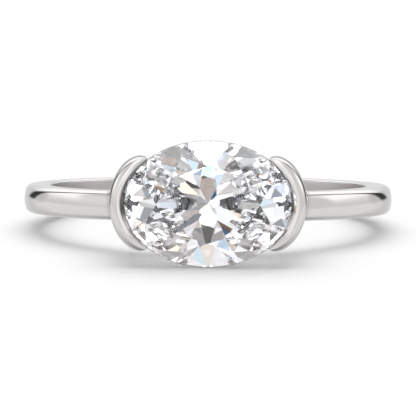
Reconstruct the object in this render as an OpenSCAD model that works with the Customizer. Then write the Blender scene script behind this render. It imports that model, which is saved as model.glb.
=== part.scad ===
// Half bezel engagement ring, lying on its side as it rests by itself.
// The ring is made in its own frame: the finger runs along Z, the stone faces -Y and its
// length lies along X. ring_at_rest() then tips it onto the lowest point of the stone and
// the back of the band. All sizes are in millimetres.

/* [Band] */
// Inside diameter, where the finger goes
finger_d = 16.9; // [15.7:0.1:18.2]
// Width of the band along the finger
band_w = 1.5; // [1.4:0.05:1.9]
// Thickness of the band from the finger to its outer face
band_t = 1.35; // [1.2:0.05:1.7]
// Radius of the low dome across the band's outer face
band_dome_r = 1.7; // [1.5:0.1:4]
// Rounding of the two outer edges of the band
outer_edge_r = 0.36; // [0.15:0.01:0.4]
// Rounding of the two inner edges of the band
inner_edge_r = 0.12; // [0.05:0.01:0.2]

/* [Stone] */
// Length of the oval stone
stone_l = 8.7; // [8.2:0.1:9.2]
// Width of the oval stone
stone_w = 6.5; // [6:0.1:6.9]
// Width of the flat table, as a share of the stone
table_share = 0.61; // [0.56:0.01:0.66]
// Height of the crown, from the girdle to the table
crown_h = 0.87; // [0.75:0.01:1]
// Thickness of the girdle under each main facet
girdle_t = 0.17; // [0.16:0.01:0.25]
// Depth of the pavilion, from the girdle to the culet
pavilion_h = 2.98; // [2.7:0.02:3.1]
// Reach of the star facets from the table to the girdle
star_share = 0.56; // [0.45:0.01:0.6]
// Reach of the lower girdle facets from the girdle to the culet
lower_share = 0.72; // [0.7:0.01:0.85]
// Clear height between the band and the culet
culet_gap = 0.08; // [0.08:0.02:0.4]
// Height of the stone's middle above the middle of the band's width
head_raise = 0.36; // [0:0.02:0.4]

/* [Half bezels] */
// Width of a half bezel outside the stone, at its middle
bezel_w = 0.71; // [0.6:0.01:1]
// Half of the arc that a half bezel wraps, in degrees round the oval
bezel_reach = 44.5; // [40:0.5:52]
// How far the lip comes in over the edge of the stone
lip_over = 0.09; // [0.06:0.01:0.18]
// Width of the bright-cut bevel between the lip and the ridge
bevel_w = 0.24; // [0.2:0.01:0.35]
// Height of the bezel's top above the girdle
bezel_h = 0.52; // [0.45:0.01:0.7]
// Width of the ledge under the edge of the stone
ledge_w = 0.3; // [0.2:0.01:0.4]
// Depth of the bezel's tips below the girdle
wing_h = 0.95; // [0.8:0.05:1.3]
// Radius of the fillet where a half bezel stands on the band
foot_r = 0.36; // [0.25:0.01:0.45]
// Clearance between the stone and the metal
seat_gap = 0.04; // [0.03:0.01:0.06]

/* [Hidden] */

metal_colour = [0.84, 0.83, 0.82];
stone_colour = [0.93, 0.96, 1.0];

// Band
bore_r = finger_d / 2;
band_r = bore_r + band_t;
half_w = band_w / 2;
// The dome's centre and the centres of the outer edge roundings lie on one radius
dome_centre = band_r - band_dome_r;
outer_edge_z = half_w - outer_edge_r;
outer_edge_at = dome_centre + sqrt(pow(band_dome_r - outer_edge_r, 2) - pow(outer_edge_z, 2));
dome_half_angle = asin(outer_edge_z / (band_dome_r - outer_edge_r));
dome_z = band_dome_r * sin(dome_half_angle);
dome_steps = 10;
edge_steps = 5;

// Stone: the facets are those of a round brilliant of radius 1, drawn out into an oval
mains = 8;
main_step = 360 / mains;
half_step = main_step / 2;
girdle_steps = 4;
girdle_count = 2 * mains * girdle_steps;
radius_x = stone_l / 2;
radius_y = stone_w / 2;
// Middle of the chord under one girdle facet
chord_reach = cos(half_step / 2);
// Where a star facet meets two kites, and where two lower facets meet two pavilion mains
table_side = table_share * cos(half_step);
star_r = table_side + star_share * (1 - table_side);
star_h = crown_h * (1 - star_r * cos(half_step)) / (1 - table_share);
lower_r = 1 - lower_share;
lower_h = pavilion_h * (1 - lower_r * cos(half_step));
// Fall of the girdle facets over one unit of radius
upper_fall = star_h / ((1 - star_r) * chord_reach);
lower_fall = lower_h / ((1 - lower_r) * chord_reach);
// Distance of the girdle's upper edge from the middle of the finger
girdle_at = band_r + culet_gap + pavilion_h + girdle_t;

// Half bezels
bezel_steps = 32;
// Powers that shape how the bezel's width, lip, bevel, ridge and lower edge run to the tips
width_power = 5;
width_round = 0.6;
lip_power = 4;
bevel_power = 1.5;
lower_edge_power = 1.6;
// Shares and least sizes at the tips
tip_height_share = 0.45;
tip_ledge_share = 0.3;
tip_w = 0.05;
tip_bevel_w = 0.03;
lip_edge_h = 0.04;
// Shape of the rounded top, as a share of its width and its depth below the girdle
apex_share = 0.3;
round_depth = 0.12;
ridge_drop = 0.03;
round_steps = 7;
// Foot of the wall: its fillet bites into the face of the band, and the wall goes on down
// into the band by a share of its thickness
foot_steps = 5;
foot_least_r = 0.02;
foot_bite = 0.02;
foot_sink = 0.4 * band_t;
lower_chamfer = 0.1;

// Rest: the angle at which the stone's girdle and the back of the band touch one plane
rest_run = outer_edge_at + girdle_at - girdle_t;
rest_rise = radius_y - head_raise - outer_edge_z;
rest_tilt = atan2(rest_rise, rest_run) - asin(outer_edge_r / norm([rest_run, rest_rise]));
rest_lift = outer_edge_at * sin(rest_tilt) + outer_edge_z * cos(rest_tilt) + outer_edge_r;
front_rise = table_share * radius_y - head_raise;
front_y = -(girdle_at + crown_h) * cos(rest_tilt) - front_rise * sin(rest_tilt);
back_y = dome_centre * cos(rest_tilt) + band_dome_r;
rest_shift = -(front_y + back_y) / 2;

// Points of an arc, from angle a to angle b in n steps
function arc(centre, r, a, b, n) =
    [for (i = [0:n]) centre + r * [cos(a + (b - a) * i / n), sin(a + (b - a) * i / n)]];

// Cross-section of the band: radius from the finger's axis, and height along it
function band_outline() = concat(
    arc([bore_r + inner_edge_r, -half_w + inner_edge_r], inner_edge_r, 180, 270, edge_steps),
    arc([outer_edge_at, -outer_edge_z], outer_edge_r, -90, -dome_half_angle, edge_steps),
    [for (i = [1:dome_steps - 1])
        let (angle = dome_half_angle * (2 * i / dome_steps - 1))
        [dome_centre + band_dome_r * cos(angle), band_dome_r * sin(angle)]],
    arc([outer_edge_at, outer_edge_z], outer_edge_r, dome_half_angle, 90, edge_steps),
    arc([bore_r + inner_edge_r, half_w - inner_edge_r], inner_edge_r, 90, 180, edge_steps)
);

// Point of the stone's oval at a share of its radius, with its height above the girdle
function oval(angle, share, height) =
    [radius_x * share * cos(angle), radius_y * share * sin(angle), height];

// Fall of the girdle's edge between the corners of a facet
function dip(i, fall) =
    let (middle = (floor(i / girdle_steps) + 0.5) * half_step, angle = i * 360 / girdle_count)
    fall * (cos(angle - middle) - chord_reach);

// A ring of point numbers, wrapped
function at(start, i, count) = start + (i + count) % count;

// Outward direction of the oval, and the fall of a unit of radius along it
function oval_slope(t) = norm([cos(t) / radius_x, sin(t) / radius_y]);
function oval_normal(t) = [cos(t) / radius_x, sin(t) / radius_y] / oval_slope(t);

// How the half bezel runs out towards its tips, from 0 at its middle to 1 at a tip
function run_out(t) = abs(t) / bezel_reach;
function outer_off(t) = tip_w + (bezel_w - tip_w) * pow(1 - pow(run_out(t), width_power), width_round);
function lip_off(t) = -lip_over * (1 - pow(run_out(t), lip_power));
function bevel_off(t) = tip_bevel_w + (bevel_w - tip_bevel_w) * (1 - pow(run_out(t), bevel_power));
function ledge_off(t) = -ledge_w * (1 - (1 - tip_ledge_share) * pow(run_out(t), lip_power));
function top_h(t) = bezel_h * (1 - (1 - tip_height_share) * pow(run_out(t), lip_power));
function wall_at(t) = oval(t, 1, 0) + outer_off(t) * concat(oval_normal(t), 0);

// Radius of the band's outer face at a distance from the middle of its width
function face_r(z) = abs(z) < dome_z
    ? dome_centre + sqrt(pow(band_dome_r, 2) - pow(z, 2))
    : outer_edge_at + sqrt(pow(outer_edge_r, 2) - pow(min(abs(z), half_w) - outer_edge_z, 2));
function bite_r(z) = face_r(z) - foot_bite;
function foot_radius(z) = foot_least_r + foot_r * sqrt(max(0, 1 - pow(z / half_w, 2)));
// Height at which the fillet leaves the wall, for a wall at x and z
function fillet_h(x, z) =
    let (r = foot_radius(z))
    sqrt(pow(bite_r(z) + r, 2) - pow(x + r, 2)) - girdle_at;
// Angle of the fillet from the wall to where it meets the face of the band
function fillet_angle(x, z) = acos((x + foot_radius(z)) / (bite_r(z) + foot_radius(z)));

// Lower edge of the wall, which rises from the side of the band to the tips
function band_z(t) = wall_at(t)[1] + head_raise;
function wing_share(t) =
    let (tip_z = abs(band_z(sign(t) * bezel_reach)))
    min(1, (abs(band_z(t)) - half_w) / (tip_z - half_w));
function foot_h(t) =
    let (x = wall_at(t)[0])
    abs(band_z(t)) < half_w ? fillet_h(x, band_z(t))
        : let (low = fillet_h(x, half_w) + lower_chamfer, high = lower_chamfer - wing_h)
        low + (high - low) * pow(wing_share(t), lower_edge_power);
function sink(t) = abs(band_z(t)) < half_w ? foot_sink : lower_chamfer;

// Cross-section of a half bezel: distance outside the oval, and height above the girdle
function bezel_outline(t) =
    let (
        out = outer_off(t),
        lip = lip_off(t),
        ledge = ledge_off(t),
        ridge = lip + bevel_off(t),
        apex = ridge + apex_share * (out - ridge),
        lip_h = upper_fall * oval_slope(t) * -lip + seat_gap,
        ledge_h = -girdle_t - lower_fall * oval_slope(t) * -ledge - 2 * seat_gap,
        reach = out - apex,
        rise = top_h(t) + round_depth,
        foot = foot_h(t),
        r = foot_radius(band_z(t)),
        turn = fillet_angle(wall_at(t)[0], band_z(t)),
        low = foot - sink(t)
    )
    concat(
        [[seat_gap, seat_gap], [lip, lip_h], [lip, lip_h + lip_edge_h], [ridge, top_h(t) - ridge_drop]],
        [for (i = [0:round_steps])
            let (a = 90 * (1 - i / round_steps))
            [apex + reach * cos(a), -round_depth + rise * sin(a)]],
        [for (i = [0:foot_steps])
            let (a = turn * i / foot_steps)
            [out + r * (1 - cos(a)), foot - r * sin(a)]],
        [[out - lower_chamfer / 2, low], [ledge + lower_chamfer / 2, low], [ledge, low + lower_chamfer]],
        [[ledge, ledge_h], [seat_gap, -girdle_t - seat_gap]]
    );

// A closed solid through like sections, with a flat cap on each end
module loft(sections) {
    rows = len(sections);
    count = len(sections[0]);
    points = [for (section = sections) each section];
    walls = [for (i = [0:rows - 2]) for (j = [0:count - 1]) each
        let (a = i * count + j, b = i * count + (j + 1) % count)
        [[b, a, b + count], [b + count, a, a + count]]];
    start = [for (j = [0:count - 1]) j];
    end = [for (j = [count - 1:-1:0]) (rows - 1) * count + j];
    polyhedron(points = points, faces = concat([start], walls, [end]), convexity = 6);
}

// Turns a shape made round the stone's axis into the ring's frame
module on_head() {
    rotate([90, 0, 0]) translate([0, head_raise, girdle_at]) children();
}

// Tips the ring onto the stone's edge and the back of the band, with the floor at z = 0
module ring_at_rest() {
    translate([0, rest_shift, rest_lift]) rotate([-rest_tilt, 0, 0]) children();
}

module band() {
    rotate_extrude($fn = 180) polygon(band_outline());
}

module half_bezel() {
    loft([for (i = [0:bezel_steps])
        let (t = bezel_reach * sin(90 * (2 * i / bezel_steps - 1)))
        [for (p = bezel_outline(t))
            oval(t, 1, p[1]) + p[0] * concat(oval_normal(t), 0)]]);
}

module band_with_half_bezels() {
    color(metal_colour) ring_at_rest() {
        band();
        on_head() half_bezel();
        on_head() mirror([1, 0, 0]) half_bezel();
    }
}

module oval_stone() {
    table = 0;
    stars = table + mains;
    upper = stars + mains;
    under = upper + girdle_count;
    inner = under + girdle_count;
    culet = inner + mains;
    points = concat(
        [for (k = [0:mains - 1]) oval(k * main_step, table_share, crown_h)],
        [for (k = [0:mains - 1]) oval((k + 0.5) * main_step, star_r, star_h)],
        [for (i = [0:girdle_count - 1]) oval(i * 360 / girdle_count, 1, -dip(i, upper_fall))],
        [for (i = [0:girdle_count - 1])
            oval(i * 360 / girdle_count, 1, -girdle_t + dip(i, lower_fall))],
        [for (k = [0:mains - 1]) oval((k + 0.5) * main_step, lower_r, -girdle_t - lower_h)],
        [oval(0, 0, -girdle_t - pavilion_h)]
    );
    per_main = 2 * girdle_steps;
    faces = concat(
        [[for (k = [mains - 1:-1:0]) table + k]],
        [for (k = [0:mains - 1]) each
            let (
                main_up = upper + k * per_main,
                main_low = under + k * per_main,
                star = stars + k,
                star_before = at(stars, k - 1, mains),
                join = inner + k,
                join_before = at(inner, k - 1, mains)
            )
            [
                [table + k, at(table, k + 1, mains), star],
                [main_up, star_before, table + k, star],
                concat([star], [for (i = [girdle_steps:-1:0]) main_up + i]),
                concat([star], [for (i = [per_main:-1:girdle_steps])
                    at(upper, k * per_main + i, girdle_count)]),
                [main_low, join, culet, join_before],
                concat([for (i = [0:girdle_steps]) main_low + i], [join]),
                concat([for (i = [girdle_steps:per_main])
                    at(under, k * per_main + i, girdle_count)], [join])
            ]],
        [for (i = [0:girdle_count - 1])
            [upper + i, at(upper, i + 1, girdle_count), at(under, i + 1, girdle_count), under + i]]
    );
    color(stone_colour) ring_at_rest() on_head()
        polyhedron(points = points, faces = faces, convexity = 2);
}

band_with_half_bezels();
oval_stone();
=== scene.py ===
"""Half bezel engagement ring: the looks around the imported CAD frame.

The metal is rebuilt finer than the CAD solid, from the same sizes, so that its polish reflects
cleanly. The sizes, and the lengths in the metal's own functions, are millimetres in the ring's
frame, as in the CAD source: the finger runs along Z, the stone faces -Y. The scene is in metres.
"""
import math

import bmesh
import bpy
from mathutils import Matrix, Vector


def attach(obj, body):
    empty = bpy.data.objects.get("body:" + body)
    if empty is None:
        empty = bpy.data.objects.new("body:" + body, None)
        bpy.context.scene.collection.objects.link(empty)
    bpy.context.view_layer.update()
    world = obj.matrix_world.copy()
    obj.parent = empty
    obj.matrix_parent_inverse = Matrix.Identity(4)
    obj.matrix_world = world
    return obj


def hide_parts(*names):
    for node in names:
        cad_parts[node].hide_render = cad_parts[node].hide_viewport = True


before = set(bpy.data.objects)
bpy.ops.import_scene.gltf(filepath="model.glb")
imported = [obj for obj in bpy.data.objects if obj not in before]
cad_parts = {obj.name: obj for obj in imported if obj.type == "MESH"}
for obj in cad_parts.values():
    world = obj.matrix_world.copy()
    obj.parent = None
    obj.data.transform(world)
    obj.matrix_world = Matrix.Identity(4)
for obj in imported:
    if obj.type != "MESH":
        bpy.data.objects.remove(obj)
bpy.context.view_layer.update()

MM = 0.001
METAL_NODE = "band_with_half_bezels"
STONE_NODE = "oval_stone"

# Band
BORE_R = 8.45
BAND_W = 1.5
BAND_T = 1.35
BAND_DOME_R = 1.7
OUTER_EDGE_R = 0.36
INNER_EDGE_R = 0.12

# Stone
RADIUS_X = 4.35
RADIUS_Y = 3.25
TABLE_SHARE = 0.61
CROWN_H = 0.87
GIRDLE_T = 0.17
PAVILION_H = 2.98
STAR_SHARE = 0.56
LOWER_SHARE = 0.72
MAINS = 8
CULET_GAP = 0.08
HEAD_RAISE = 0.36

# Half bezels
BEZEL_W = 0.71
BEZEL_REACH = math.radians(44.5)
LIP_OVER = 0.09
BEVEL_W = 0.24
BEZEL_H = 0.52
LEDGE_W = 0.3
WING_H = 0.95
FOOT_R = 0.36
FOOT_BITE = 0.002
SEAT_GAP = 0.04
WIDTH_POWER = 5
WIDTH_ROUND = 0.6
LIP_POWER = 4
BEVEL_POWER = 1.5
LOWER_EDGE_POWER = 1.6
TIP_HEIGHT_SHARE = 0.45
TIP_LEDGE_SHARE = 0.3
TIP_W = 0.05
TIP_BEVEL_W = 0.03
LIP_EDGE_H = 0.04
APEX_SHARE = 0.3
ROUND_DEPTH = 0.12
RIDGE_DROP = 0.03
FOOT_LEAST_R = 0.02
FOOT_SINK = 0.4 * BAND_T
LOWER_CHAMFER = 0.1

# Steps of the fine mesh
BAND_STEPS = 480
EDGE_STEPS = 12
DOME_STEPS = 16
BEZEL_STEPS = 144
ROUND_STEPS = 20
FOOT_STEPS = 10
MERGE_WITHIN = 1e-7
SHARP_FROM = math.radians(32)

# Worked out from the sizes above
BAND_R = BORE_R + BAND_T
HALF_W = BAND_W / 2
DOME_CENTRE = BAND_R - BAND_DOME_R
OUTER_EDGE_Z = HALF_W - OUTER_EDGE_R
OUTER_EDGE_AT = DOME_CENTRE + math.sqrt((BAND_DOME_R - OUTER_EDGE_R) ** 2 - OUTER_EDGE_Z**2)
DOME_HALF_ANGLE = math.asin(OUTER_EDGE_Z / (BAND_DOME_R - OUTER_EDGE_R))
DOME_Z = BAND_DOME_R * math.sin(DOME_HALF_ANGLE)
GIRDLE_AT = BAND_R + CULET_GAP + PAVILION_H + GIRDLE_T
HALF_STEP = math.pi / MAINS
CHORD_REACH = math.cos(HALF_STEP / 2)
TABLE_SIDE = TABLE_SHARE * math.cos(HALF_STEP)
STAR_R = TABLE_SIDE + STAR_SHARE * (1 - TABLE_SIDE)
STAR_H = CROWN_H * (1 - STAR_R * math.cos(HALF_STEP)) / (1 - TABLE_SHARE)
LOWER_R = 1 - LOWER_SHARE
LOWER_H = PAVILION_H * (1 - LOWER_R * math.cos(HALF_STEP))
UPPER_FALL = STAR_H / ((1 - STAR_R) * CHORD_REACH)
LOWER_FALL = LOWER_H / ((1 - LOWER_R) * CHORD_REACH)
REST_RUN = OUTER_EDGE_AT + GIRDLE_AT - GIRDLE_T
REST_RISE = RADIUS_Y - HEAD_RAISE - OUTER_EDGE_Z
REST_DROP = math.asin(OUTER_EDGE_R / math.hypot(REST_RUN, REST_RISE))
REST_TILT = math.atan2(REST_RISE, REST_RUN) - REST_DROP
REST_LIFT = OUTER_EDGE_AT * math.sin(REST_TILT) + OUTER_EDGE_Z * math.cos(REST_TILT) + OUTER_EDGE_R
FRONT_RISE = TABLE_SHARE * RADIUS_Y - HEAD_RAISE
FRONT_Y = -(GIRDLE_AT + CROWN_H) * math.cos(REST_TILT) - FRONT_RISE * math.sin(REST_TILT)
BACK_Y = DOME_CENTRE * math.cos(REST_TILT) + BAND_DOME_R
REST_SHIFT = -(FRONT_Y + BACK_Y) / 2

# From the ring's own frame in millimetres to the row's frame in metres
AT_REST = (
    Matrix.Scale(MM, 4)
    @ Matrix.Translation((0, REST_SHIFT, REST_LIFT))
    @ Matrix.Rotation(-REST_TILT, 4, "X")
)
ON_HEAD = Matrix.Rotation(math.pi / 2, 4, "X") @ Matrix.Translation((0, HEAD_RAISE, GIRDLE_AT))
RING_CENTRE = Vector((0, REST_SHIFT, REST_LIFT)) * MM
AXIS = Vector((0, math.sin(REST_TILT), math.cos(REST_TILT)))
FRONT = Vector((0, -math.cos(REST_TILT), math.sin(REST_TILT)))

# Metal: two tones in a fine grain, its polish, and the satin of the bore
GOLD_LOW = (0.665, 0.650, 0.642, 1)
GOLD_HIGH = (0.685, 0.670, 0.662, 1)
GRAIN_SCALE = 900
GRAIN_DETAIL = 5
POLISH_LOW = 0.01
POLISH_HIGH = 0.035
SATIN = 0.2
BORE_FADE = (BORE_R + 0.03, BORE_R + 0.01)

# Metal, painted dark tones: painted shade in the creases under the half bezels, a painted dark
# reflection and shade on the bevels at the stone, and a painted dark reflection on the upper
# outside of the half bezels. In a pair, a tone is absent at the first value and full at the second:
# an openness, a share of an oval, a facing value or a length.
# Painted shade in the creases under the half bezels
PAINTED_CREASE_SHADE = (0.1, 0.097, 0.095, 1)
CREASE_REACH = 0.4
CREASE_SAMPLES = 8
CREASE_FADE = (0.97, 0.78)
WALL_FADE = (0.98, 1.0)
GIRDLE_FADE = (GIRDLE_AT - 0.02, GIRDLE_AT + 0.02)
# Painted dark reflection and shade on the bevels at the stone
PAINTED_SEAT_REFLECTION_AND_SHADE = (0.11, 0.107, 0.105, 1)
SEAT_OFFSET = -0.05
SEAT_INSET = 0.06
SEAT_W = 0.22
SEAT_FADE = (1.005, 0.985)
SEAT_RISE = (-0.95, -0.35)
SEAT_LEAST = 0.12
# Painted dark reflection where the upper outside of a half bezel turns away from the eye
PAINTED_OUTLINE_REFLECTION = (0.12, 0.117, 0.115, 1)
OUTLINE_FACING = (0.55, 0.7)
OUTLINE_RISE = (-0.6, 0.2)
OUTLINE_OFF_BAND = (BAND_R + 0.3, BAND_R + 0.6)

# Stone: its painted tint for reflected colour below and above, the noise that wavers between them,
# and the line at its edge
# Painted tint for reflected colour: warmer below, cooler above
STONE_PAINTED_WARM_REFLECTION = (1.0, 0.95, 0.945, 1)
STONE_PAINTED_COOL_REFLECTION = (0.95, 0.965, 1.0, 1)
TINT_RISE = (-0.8, 1.2)
TINT_SCALE = 1500
TINT_WAVER = 2
STONE_EDGE = (0.45, 0.45, 0.46, 1)
EDGE_FADE = (0.982, 0.99)
EDGE_CLEARNESS = 0.25
STONE_SHEEN = (0.4, 0.4, 0.4, 1)
STONE_ROUGHNESS = 0.02
STONE_IOR = 2.417

# A patch of the surroundings is round: azimuth, elevation, radius and softness, in degrees.
# Azimuth 0 is -Y and 90 is +X. Later patches lie in front of earlier ones.

# What lights the floor: the room, and a softbox high behind the ring
ROOM_LEVEL = 0.64
SOFTBOX = (180, 73, 34, 8)
SOFTBOX_LEVEL = 2.02

# What the metal mirrors: a tent, with grey levels at heights in degrees
TENT_FRONT = [
    (-80, 0.3), (-62, 0.42), (-46, 0.7), (-30, 0.96), (-18, 1.0), (-5.5, 1.0), (-4.5, 0.86),
    (1, 0.9), (6, 1.02), (10, 1.2), (15, 1.45), (60, 1.5), (90, 1.15),
]
TENT_REAR = [
    (-80, 0.25), (-55, 0.42), (-40, 0.6), (-25, 0.8), (-4, 0.78), (8, 0.8), (17, 1.1), (27, 1.5),
]
TENT_LEFT = [(-5, 0.88), (4, 0.97), (16, 1.04), (36, 0.9), (52, 0.85), (66, 1.2)]
REAR_PATCH = (180, 0, 40, 8)
LEFT_PATCH = (-62, 26, 30, 6)

# Softboxes and cards in the tent: a patch, then its grey level
TENT_CARDS = [
    (-76, 50, 20, 8, 0.86),
    (76, 50, 20, 8, 0.86),
    (46, 40, 22, 8, 0.85),
    (30, 12, 16, 6, 0.88),
    (68, 10, 17, 5, 0.86),
    (6, 25, 9, 6, 1.1),
    (-7, 7, 8, 4, 1.22),
    (7, 7, 8, 4, 1.22),
    (-146, -38, 20, 14, 0.7),
    (146, -38, 20, 14, 0.7),
    (-131, 2, 7, 5, 0.72),
    (131, 2, 7, 5, 0.72),
    (0, 2.6, 3.5, 1.5, 0.25),
]

# Dark flag behind the ring on each side: the axis of its arc on the right, the cosine at which it
# runs round that axis, how far off that cosine it is absent and full, its level, the patch that
# bounds it, and the height that it starts from
FLAG_AXIS = (-0.272, 0.750, 0.603)
FLAG_AT = 0.421
FLAG_FADE = (0.108, 0.036)
FLAG_LEVEL = 0.06
FLAG_PATCH = (125, 22, 42, 5)
FLAG_FROM = (-5, 2)

# What is seen through the stone: azimuth, elevation and radius of a patch, and its tone. FIRE turns
# the patches apart by colour. A patch's softness is a share of its radius.
FIRE = 0.5
BEHIND_STONE = (0.41, 0.405, 0.4)
SOFT_SHARE = 0.2
LEAST_SOFTNESS = 2
STONE_LAMPS = [
    (72, -40, 13, (2.43, 2.38, 2.32)),
    (-71, 22, 80, (1.12, 1.13, 1.16)),
    (36, 19, 9, (1.43, 1.49, 1.53)),
    (9, -26, 37, (0.93, 0.94, 0.96)),
    (-29, -11, 14, (0.02, 0.02, 0.02)),
    (37, 37, 13, (0.02, 0.02, 0.02)),
    (126, 29, 29, (2.97, 3, 3.02)),
    (-67, 72, 53, (3.19, 3.24, 3.29)),
    (-87, 18, 17, (0.02, 0.02, 0.02)),
    (6, -31, 8, (0.08, 0.08, 0.08)),
    (-36, 29, 21, (0.71, 0.7, 0.69)),
    (-177, 68, 16, (0.02, 0.02, 0.02)),
    (5, -1, 17, (0.28, 0.29, 0.31)),
    (-11, -1, 15, (1.08, 1.11, 1.14)),
    (-136, 0, 17, (2.48, 2.48, 2.48)),
    (13, 14, 4, (0.02, 0.02, 0.02)),
]

# The plain backdrop's radiance, and the floor
BACKDROP = 0.98
FLOOR_ALBEDO = 0.96
FLOOR_HALF = 0.6


def arc(x, y, r, start, end, steps):
    """Points of an arc round (x, y)."""
    angles = [start + (end - start) * i / steps for i in range(steps + 1)]
    return [(x + r * math.cos(a), y + r * math.sin(a)) for a in angles]


def band_outline():
    """The band's cross-section: radius from the finger's axis, and height along it."""
    quarter = math.pi / 2
    inner_z = HALF_W - INNER_EDGE_R
    inner_at = BORE_R + INNER_EDGE_R
    dome = arc(DOME_CENTRE, 0, BAND_DOME_R, -DOME_HALF_ANGLE, DOME_HALF_ANGLE, DOME_STEPS)
    return (
        arc(inner_at, -inner_z, INNER_EDGE_R, 2 * quarter, 3 * quarter, EDGE_STEPS)
        + arc(OUTER_EDGE_AT, -OUTER_EDGE_Z, OUTER_EDGE_R, -quarter, -DOME_HALF_ANGLE, EDGE_STEPS)
        + dome[1:-1]
        + arc(OUTER_EDGE_AT, OUTER_EDGE_Z, OUTER_EDGE_R, DOME_HALF_ANGLE, quarter, EDGE_STEPS)
        + arc(inner_at, inner_z, INNER_EDGE_R, quarter, 2 * quarter, EDGE_STEPS)
    )


def wall_frame(t):
    """Point, outward direction and slope of the stone's oval at parameter t."""
    point = Vector((RADIUS_X * math.cos(t), RADIUS_Y * math.sin(t), 0))
    normal = Vector((math.cos(t) / RADIUS_X, math.sin(t) / RADIUS_Y, 0))
    return point, normal.normalized(), normal.length


def run_out(t):
    return min(abs(t) / BEZEL_REACH, 1)


def outer_off(t):
    return TIP_W + (BEZEL_W - TIP_W) * (1 - run_out(t) ** WIDTH_POWER) ** WIDTH_ROUND


def face_r(z):
    """Radius of the band's outer face at a distance from the middle of its width."""
    z = min(abs(z), HALF_W)
    if z < DOME_Z:
        return DOME_CENTRE + math.sqrt(BAND_DOME_R**2 - z**2)
    return OUTER_EDGE_AT + math.sqrt(max(0, OUTER_EDGE_R**2 - (z - OUTER_EDGE_Z) ** 2))


def foot_radius(z):
    return FOOT_LEAST_R + FOOT_R * math.sqrt(max(0, 1 - (z / HALF_W) ** 2))


def fillet(x, z):
    """Height at which the fillet leaves the wall, and its angle down to the band's face."""
    r, face = foot_radius(z), face_r(z) - FOOT_BITE
    height = math.sqrt((face + r) ** 2 - (x + r) ** 2) - GIRDLE_AT
    return height, math.acos((x + r) / (face + r))


def wall_at(t):
    point, normal, _ = wall_frame(t)
    return point + outer_off(t) * normal


def foot_of(t):
    """Foot of the wall at t: height, turn of its fillet, and how far it goes on down."""
    wall = wall_at(t)
    z = wall.y + HEAD_RAISE
    height, turn = fillet(wall.x, z)
    if abs(z) < HALF_W:
        return height, turn, foot_radius(z), FOOT_SINK
    tip_z = abs(wall_at(math.copysign(BEZEL_REACH, t)).y + HEAD_RAISE)
    share = min(1, (abs(z) - HALF_W) / (tip_z - HALF_W))
    low, _ = fillet(wall.x, HALF_W)
    low += LOWER_CHAMFER
    height = low + (LOWER_CHAMFER - WING_H - low) * share**LOWER_EDGE_POWER
    return height, turn, foot_radius(z), LOWER_CHAMFER


def bezel_outline(t):
    """A half bezel's cross-section: distance outside the oval, and height above the girdle."""
    u = run_out(t)
    slope = wall_frame(t)[2]
    out = outer_off(t)
    lip = -LIP_OVER * (1 - u**LIP_POWER)
    bevel = TIP_BEVEL_W + (BEVEL_W - TIP_BEVEL_W) * (1 - u**BEVEL_POWER)
    ledge = -LEDGE_W * (1 - (1 - TIP_LEDGE_SHARE) * u**LIP_POWER)
    top = BEZEL_H * (1 - (1 - TIP_HEIGHT_SHARE) * u**LIP_POWER)
    ridge = lip + bevel
    apex = ridge + APEX_SHARE * (out - ridge)
    lip_h = UPPER_FALL * slope * -lip + SEAT_GAP
    ledge_h = -GIRDLE_T - LOWER_FALL * slope * -ledge - 2 * SEAT_GAP
    foot, turn, r, sink = foot_of(t)
    low = foot - sink
    points = [(SEAT_GAP, SEAT_GAP), (lip, lip_h), (lip, lip_h + LIP_EDGE_H)]
    points.append((ridge, top - RIDGE_DROP))
    for i in range(ROUND_STEPS + 1):
        a = math.pi / 2 * (1 - i / ROUND_STEPS)
        height = -ROUND_DEPTH + (top + ROUND_DEPTH) * math.sin(a)
        points.append((apex + (out - apex) * math.cos(a), height))
    for i in range(FOOT_STEPS + 1):
        a = turn * i / FOOT_STEPS
        points.append((out + r * (1 - math.cos(a)), foot - r * math.sin(a)))
    points += [(out - LOWER_CHAMFER / 2, low), (ledge + LOWER_CHAMFER / 2, low)]
    points += [(ledge, low + LOWER_CHAMFER), (ledge, ledge_h), (SEAT_GAP, -GIRDLE_T - SEAT_GAP)]
    return points


def mesh_object(name, points, faces):
    mesh = bpy.data.meshes.new(name)
    mesh.from_pydata([tuple(p) for p in points], [], faces)
    mesh.validate()
    bm = bmesh.new()
    bm.from_mesh(mesh)
    bmesh.ops.remove_doubles(bm, verts=bm.verts, dist=MERGE_WITHIN)
    bmesh.ops.recalc_face_normals(bm, faces=bm.faces)
    bm.to_mesh(mesh)
    bm.free()
    piece = bpy.data.objects.new(name, mesh)
    bpy.context.scene.collection.objects.link(piece)
    return piece


def loft_faces(rows, count, closed):
    """Quads between like sections, wrapped round each section, and round the rows if closed."""
    last = rows if closed else rows - 1
    faces = []
    for i in range(last):
        a, b = i * count, (i + 1) % rows * count
        for j in range(count):
            k = (j + 1) % count
            faces.append((a + j, a + k, b + k, b + j))
    if not closed:
        faces.append(tuple(range(count))[::-1])
        faces.append(tuple((rows - 1) * count + j for j in range(count)))
    return faces


def build_band():
    outline = band_outline()
    points = []
    for i in range(BAND_STEPS):
        turn = Matrix.Rotation(math.tau * i / BAND_STEPS, 4, "Z")
        points += [AT_REST @ turn @ Vector((r, 0, z)) for r, z in outline]
    return mesh_object("band", points, loft_faces(BAND_STEPS, len(outline), True))


def build_half_bezel(side):
    points = []
    for i in range(BEZEL_STEPS + 1):
        t = BEZEL_REACH * math.sin(math.pi / 2 * (2 * i / BEZEL_STEPS - 1))
        base, normal, _ = wall_frame(t)
        outline = bezel_outline(t)
        for off, height in outline:
            p = base + off * normal + Vector((0, 0, height))
            p.x *= side
            points.append(AT_REST @ ON_HEAD @ p)
    name = "half_bezel_right" if side > 0 else "half_bezel_left"
    return mesh_object(name, points, loft_faces(BEZEL_STEPS + 1, len(outline), False))


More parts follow.
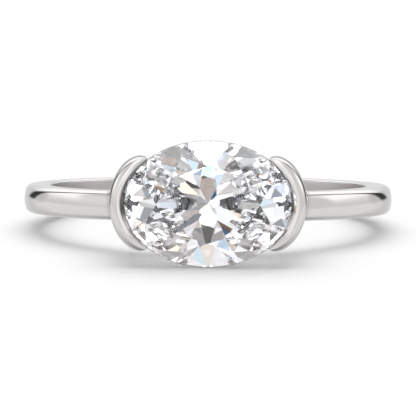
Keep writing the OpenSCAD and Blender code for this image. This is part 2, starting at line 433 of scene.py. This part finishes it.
def joined(name, first, *others):
    """One closed mesh out of several that overlap."""
    for other in others:
        cut = first.modifiers.new("join", "BOOLEAN")
        cut.operation = "UNION"
        cut.solver = "EXACT"
        cut.object = other
    graph = bpy.context.evaluated_depsgraph_get()
    mesh = bpy.data.meshes.new_from_object(first.evaluated_get(graph))
    mesh.name = name
    piece = bpy.data.objects.new(name, mesh)
    bpy.context.scene.collection.objects.link(piece)
    for old in (first, *others):
        bpy.data.objects.remove(old)
    return piece


def build_metal():
    piece = joined("polished_ring", build_band(), build_half_bezel(1), build_half_bezel(-1))
    mesh = piece.data
    mesh.shade_smooth()
    mesh.set_sharp_from_angle(angle=SHARP_FROM)
    return piece


def new_material(name):
    material = bpy.data.materials.new(name)
    material.use_nodes = True
    tree = material.node_tree
    return material, tree, tree.nodes["Principled BSDF"]


def mixed(tree, kind, factor, a, b):
    node = tree.nodes.new("ShaderNodeMix")
    node.data_type = kind
    for socket, value in zip([i for i in node.inputs if i.enabled], (factor, a, b)):
        if isinstance(value, (int, float, tuple)):
            socket.default_value = value
        else:
            tree.links.new(value, socket)
    return next(o for o in node.outputs if o.enabled)


def vector(tree, operation, a, b=None):
    node = tree.nodes.new("ShaderNodeVectorMath")
    node.operation = operation
    tree.links.new(a, node.inputs[0])
    if b is not None:
        node.inputs[1].default_value = b
    return node.outputs["Value" if operation in ("DOT_PRODUCT", "LENGTH") else "Vector"]


def in_metres(span):
    return [v * MM for v in span]


def fade(tree, value, span, low=0.0, high=1.0):
    """Low where the value is at the span's first end, high where it is at the second."""
    node = tree.nodes.new("ShaderNodeMapRange")
    for name, limit in zip(("From Min", "From Max", "To Min", "To Max"), (*span, low, high)):
        node.inputs[name].default_value = limit
    tree.links.new(value, node.inputs["Value"])
    return node.outputs["Result"]


def product(tree, a, b):
    node = tree.nodes.new("ShaderNodeMath")
    node.operation = "MULTIPLY"
    tree.links.new(a, node.inputs[0])
    tree.links.new(b, node.inputs[1])
    return node.outputs[0]


def noise(tree, place, scale, detail=2):
    node = tree.nodes.new("ShaderNodeTexNoise")
    node.inputs["Scale"].default_value = scale
    node.inputs["Detail"].default_value = detail
    tree.links.new(place, node.inputs["Vector"])
    return node.outputs["Fac"]


def from_ring(tree):
    """Object coordinates, and the same measured from the ring's centre, in metres."""
    place = tree.nodes.new("ShaderNodeTexCoord").outputs["Object"]
    return place, vector(tree, "SUBTRACT", place, RING_CENTRE)


def from_head(tree, away, offset=0):
    """From the middle of the head, or of a shape set off from it along X, in metres."""
    return vector(tree, "SUBTRACT", away, (AXIS * HEAD_RAISE + Vector((offset, 0, 0))) * MM)


def rise(tree, head):
    """How far a point is above the head's middle, along the finger."""
    return vector(tree, "DOT_PRODUCT", head, AXIS)


def distance_from_axis(tree, away):
    """How far a point is from the finger's axis."""
    return vector(tree, "LENGTH", vector(tree, "CROSS_PRODUCT", away, AXIS))


def oval_share(tree, head, half_x, half_z):
    """1 on an oval round the head's middle, less inside it and more outside."""
    across = tree.nodes.new("ShaderNodeCombineXYZ")
    tree.links.new(vector(tree, "DOT_PRODUCT", head, (1 / (half_x * MM), 0, 0)), across.inputs[0])
    tree.links.new(vector(tree, "DOT_PRODUCT", head, AXIS / (half_z * MM)), across.inputs[1])
    return vector(tree, "LENGTH", across.outputs[0])


def above_girdle(tree, away):
    """1 on the stone's face side of its girdle, 0 on the band's side."""
    return fade(tree, vector(tree, "DOT_PRODUCT", away, FRONT), in_metres(GIRDLE_FADE))


def in_painted_crease_shade(tree, away):
    """1 where shade is painted: in the creases on the outside of the half bezels, below the girdle.
    """
    crease = tree.nodes.new("ShaderNodeAmbientOcclusion")
    crease.samples = CREASE_SAMPLES
    crease.inputs["Distance"].default_value = CREASE_REACH * MM
    closed = fade(tree, crease.outputs["AO"], CREASE_FADE)
    below = fade(tree, above_girdle(tree, away), (0.0, 1.0), 1.0, 0.0)
    head = from_head(tree, away)
    wall = oval_share(tree, head, RADIUS_X + BEZEL_W / 2, RADIUS_Y + BEZEL_W / 2)
    return product(tree, closed, product(tree, below, fade(tree, wall, WALL_FADE)))


def on_bevel(tree, away, head, width):
    """1 on the bevels that face the stone, out to a width from the lip."""
    share = oval_share(tree, head, RADIUS_X - LIP_OVER + width, RADIUS_Y - SEAT_INSET)
    return product(tree, fade(tree, share, SEAT_FADE), above_girdle(tree, away))


def on_painted_outline_reflection(tree, away, head):
    """1 where the upper half of a half bezel turns away from the eye, for a painted dark
    reflection.
    """
    facing = tree.nodes.new("ShaderNodeLayerWeight").outputs["Facing"]
    turned = fade(tree, facing, OUTLINE_FACING)
    upper = fade(tree, rise(tree, head), in_metres(OUTLINE_RISE))
    off_band = fade(tree, distance_from_axis(tree, away), in_metres(OUTLINE_OFF_BAND))
    return product(tree, product(tree, turned, upper), off_band)


def metal_material():
    """White gold: mirror outside, satin in the bore and on the bevels, with painted shade in its
    creases and painted dark reflections at the stone and on the upper outside of the half bezels.
    """
    material, tree, shader = new_material("polished_white_gold")
    shader.inputs["Metallic"].default_value = 1.0
    place, away = from_ring(tree)
    head = from_head(tree, away, SEAT_OFFSET)
    grain = noise(tree, place, GRAIN_SCALE, GRAIN_DETAIL)
    upper = fade(tree, rise(tree, head), in_metres(SEAT_RISE), SEAT_LEAST)
    # Where the dark reflection and shade on the bevels at the stone is painted
    painted_seat_dark = product(tree, on_bevel(tree, away, head, SEAT_W), upper)
    tone = mixed(tree, "RGBA", grain, GOLD_LOW, GOLD_HIGH)
    # Painted shade in the creases under the half bezels
    tone = mixed(tree, "RGBA", in_painted_crease_shade(tree, away), tone, PAINTED_CREASE_SHADE)
    # Painted dark reflection and shade on the bevels at the stone
    tone = mixed(tree, "RGBA", painted_seat_dark, tone, PAINTED_SEAT_REFLECTION_AND_SHADE)
    # Painted dark reflection on the upper outside of the half bezels
    tone = mixed(tree, "RGBA", on_painted_outline_reflection(tree, away, head), tone, PAINTED_OUTLINE_REFLECTION)
    tree.links.new(tone, shader.inputs["Base Color"])
    bore = fade(tree, distance_from_axis(tree, away), in_metres(BORE_FADE))
    polish = fade(tree, grain, (0.0, 1.0), POLISH_LOW, POLISH_HIGH)
    polish = mixed(tree, "FLOAT", on_bevel(tree, away, head, BEVEL_W), polish, SATIN)
    tree.links.new(mixed(tree, "FLOAT", bore, polish, SATIN), shader.inputs["Roughness"])
    return material


def stone_material():
    """Clear, with a tint painted in for reflected colour, a little cooler above and warmer below,
    and a fine grey line at its edge.
    """
    material, tree, shader = new_material("faceted_diamond")
    place, away = from_ring(tree)
    head = from_head(tree, away)
    height = tree.nodes.new("ShaderNodeMath")
    height.operation = "MULTIPLY_ADD"
    height.inputs[1].default_value = TINT_WAVER * MM
    tree.links.new(noise(tree, place, TINT_SCALE), height.inputs[0])
    tree.links.new(rise(tree, head), height.inputs[2])
    # A tint painted in for reflected colour, cooler above and warmer below
    cool = fade(tree, height.outputs[0], in_metres(TINT_RISE))
    tint = mixed(tree, "RGBA", cool, STONE_PAINTED_WARM_REFLECTION, STONE_PAINTED_COOL_REFLECTION)
    edge = fade(tree, oval_share(tree, head, RADIUS_X, RADIUS_Y), EDGE_FADE)
    clear = mixed(tree, "FLOAT", edge, 1.0, EDGE_CLEARNESS)
    tree.links.new(mixed(tree, "RGBA", edge, tint, STONE_EDGE), shader.inputs["Base Color"])
    tree.links.new(clear, shader.inputs["Transmission Weight"])
    shader.inputs["Roughness"].default_value = STONE_ROUGHNESS
    shader.inputs["Specular Tint"].default_value = STONE_SHEEN
    shader.inputs["IOR"].default_value = STONE_IOR
    return material


def floor_material():
    material, tree, shader = new_material("white_sweep")
    shader.inputs["Base Color"].default_value = (FLOOR_ALBEDO, FLOOR_ALBEDO, FLOOR_ALBEDO, 1)
    shader.inputs["Roughness"].default_value = 1.0
    shader.inputs["Specular IOR Level"].default_value = 0.0
    return material


def build_floor():
    half = FLOOR_HALF
    corners = [(-half, -half, 0), (half, -half, 0), (half, half, 0), (-half, half, 0)]
    floor = mesh_object("floor", corners, [(0, 1, 2, 3)])
    floor.data.materials.append(floor_material())
    floor.visible_glossy = False
    floor.visible_transmission = False


class World:
    """Builds the surroundings that the metal, the stone and the floor each see."""

    def __init__(self):
        world = bpy.data.worlds.new("studio")
        bpy.context.scene.world = world
        world.use_nodes = True
        world.cycles.sampling_method = "NONE"
        self.nodes, self.links = world.node_tree.nodes, world.node_tree.links
        self.direction = self.nodes.new("ShaderNodeTexCoord").outputs["Generated"]
        split = self.nodes.new("ShaderNodeSeparateXYZ")
        self.links.new(self.direction, split.inputs[0])
        self.up = split.outputs["Z"]

    def math(self, operation, a, b=None, c=None):
        node = self.nodes.new("ShaderNodeMath")
        node.operation = operation
        for socket, value in zip(node.inputs, (a, b, c)):
            if isinstance(value, (int, float)):
                socket.default_value = value
            elif value is not None:
                self.links.new(value, socket)
        return node.outputs[0]

    def smooth(self, value, low, high):
        """0 at low, 1 at high, with a soft start and end."""
        node = self.nodes.new("ShaderNodeMapRange")
        node.interpolation_type = "SMOOTHSTEP"
        node.inputs["From Min"].default_value = low
        node.inputs["From Max"].default_value = high
        self.links.new(value, node.inputs["Value"])
        return node.outputs["Result"]

    def lamp(self, azimuth, elevation, radius, softness):
        """1 inside a round patch of the surroundings, 0 outside."""
        a, e = math.radians(azimuth), math.radians(elevation)
        axis = (math.sin(a) * math.cos(e), -math.cos(a) * math.cos(e), math.sin(e))
        dot = self.nodes.new("ShaderNodeVectorMath")
        dot.operation = "DOT_PRODUCT"
        dot.inputs[1].default_value = axis
        self.links.new(self.direction, dot.inputs[0])
        outer = math.cos(math.radians(min(radius + softness, 180)))
        inner = math.cos(math.radians(max(radius - softness, 0)))
        return self.smooth(dot.outputs["Value"], outer, inner)

    def ramp(self, value, stops):
        """Grey levels at heights in degrees, straight between them."""
        node = self.nodes.new("ShaderNodeValToRGB")
        while len(node.color_ramp.elements) < len(stops):
            node.color_ramp.elements.new(0.5)
        for element, (degrees, level) in zip(node.color_ramp.elements, stops):
            element.position = 0.5 + 0.5 * math.sin(math.radians(degrees))
            element.color = (level, level, level, 1)
        self.links.new(self.math("MULTIPLY_ADD", value, 0.5, 0.5), node.inputs["Fac"])
        return node.outputs["Color"]

    def stripe(self, side):
        """1 on a narrow arc that rises behind the ring on one side, 0 off it."""
        x, y, z = FLAG_AXIS
        dot = self.nodes.new("ShaderNodeVectorMath")
        dot.operation = "DOT_PRODUCT"
        dot.inputs[1].default_value = (side * x, y, z)
        self.links.new(self.direction, dot.inputs[0])
        off = self.math("ABSOLUTE", self.math("SUBTRACT", dot.outputs["Value"], FLAG_AT))
        near = self.smooth(off, *FLAG_FADE)
        azimuth, *rest = FLAG_PATCH
        part = self.math("MULTIPLY", self.lamp(side * azimuth, *rest), self.elevation(*FLAG_FROM))
        return self.math("MULTIPLY", near, part)

    def colour(self, factor, a, b):
        node = self.nodes.new("ShaderNodeMix")
        node.data_type = "RGBA"
        for name, value in (("A", a), ("B", b)):
            if isinstance(value, tuple):
                node.inputs[name].default_value = (*value, 1)
            else:
                self.links.new(value, node.inputs[name])
        self.links.new(factor, node.inputs["Factor"])
        return node.outputs["Result"]

    def level(self, factor, a, b):
        """One channel's level, from a where the factor is 0 to b where it is 1."""
        return self.math("MULTIPLY_ADD", factor, self.math("SUBTRACT", b, a), a)

    def grey(self, value):
        return (value, value, value)

    def elevation(self, degrees, softness):
        """1 above that height of the sky, 0 below it."""
        low = math.sin(math.radians(max(degrees - softness, -90)))
        high = math.sin(math.radians(min(degrees + softness, 90)))
        return self.smooth(self.up, low, high)


def metal_surroundings(w):
    """What the polished metal mirrors: a white tent with softboxes, cards and two dark flags."""
    tent = w.colour(w.lamp(*REAR_PATCH), w.ramp(w.up, TENT_FRONT), w.ramp(w.up, TENT_REAR))
    tent = w.colour(w.lamp(*LEFT_PATCH), tent, w.ramp(w.up, TENT_LEFT))
    for *patch, level in TENT_CARDS:
        tent = w.colour(w.lamp(*patch), tent, w.grey(level))
    for side in (-1, 1):
        tent = w.colour(w.stripe(side), tent, w.grey(FLAG_LEVEL))
    return tent


def stone_surroundings(w):
    """What is seen through the stone, each colour turned a little, as a diamond splits light."""
    seen = w.nodes.new("ShaderNodeCombineColor")
    for socket, channel, turn in zip(seen.inputs, range(3), (FIRE, 0, -FIRE)):
        level = BEHIND_STONE[channel]
        for azimuth, elevation, radius, tone in STONE_LAMPS:
            softness = max(LEAST_SOFTNESS, radius * SOFT_SHARE)
            inside = w.lamp(azimuth + turn, elevation + turn, radius, softness)
            level = w.level(inside, level, tone[channel])
        w.links.new(level, socket)
    return seen.outputs[0]


def build_world():
    w = World()
    colour = w.colour(w.lamp(*SOFTBOX), w.grey(ROOM_LEVEL), w.grey(SOFTBOX_LEVEL))
    path = w.nodes.new("ShaderNodeLightPath")
    colour = w.colour(path.outputs["Is Glossy Ray"], colour, metal_surroundings(w))
    colour = w.colour(path.outputs["Is Transmission Ray"], colour, stone_surroundings(w))
    colour = w.colour(path.outputs["Is Camera Ray"], colour, w.grey(BACKDROP))
    w.links.new(colour, w.nodes["Background"].inputs["Color"])


def add_camera():
    """The photograph's view: from in front of the stone, a little above the floor."""
    frame_px = 416
    scale_px_per_mm = 18.72
    centre_px = (208.0, 198.4)
    distance = 0.300
    above_ring_plane = math.radians(2.85)
    roll = math.radians(0.27)
    sensor = 36.0
    elevation = above_ring_plane + REST_TILT
    back = Vector((0, -math.cos(elevation), math.sin(elevation)))
    right = Vector((1, 0, 0))
    up = right.cross(-back)
    place = RING_CENTRE + distance * back
    px = MM / scale_px_per_mm
    across_px, above_px = centre_px[0] - frame_px / 2, frame_px / 2 - centre_px[1]
    aim = RING_CENTRE - right * across_px * px - up * above_px * px
    camera = bpy.data.cameras.new("camera")
    camera.sensor_width = sensor
    camera.lens = scale_px_per_mm * (distance / MM) / frame_px * sensor
    camera.clip_end = 10
    camera.clip_start = 0.01
    holder = bpy.data.objects.new("camera", camera)
    turn = (aim - place).to_track_quat("-Z", "Y").to_matrix().to_4x4()
    holder.matrix_world = Matrix.Translation(place) @ turn @ Matrix.Rotation(roll, 4, "Z")
    bpy.context.scene.collection.objects.link(holder)
    bpy.context.scene.camera = holder


def settings():
    scene = bpy.context.scene
    scene.view_settings.view_transform = "Standard"
    scene.cycles.max_bounces = 32
    scene.cycles.transmission_bounces = 32
    scene.cycles.glossy_bounces = 24
    scene.cycles.diffuse_bounces = 4
    scene.cycles.caustics_reflective = True
    scene.cycles.caustics_refractive = True
    scene.cycles.use_denoising = True
    scene.cycles.sample_clamp_indirect = 6


add_camera()
settings()
build_world()
build_floor()

metal = build_metal()
metal.data.materials.clear()
metal.data.materials.append(metal_material())
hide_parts(METAL_NODE)
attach(metal, "root")

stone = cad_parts[STONE_NODE]
stone.data.materials.clear()
stone.data.materials.append(stone_material())
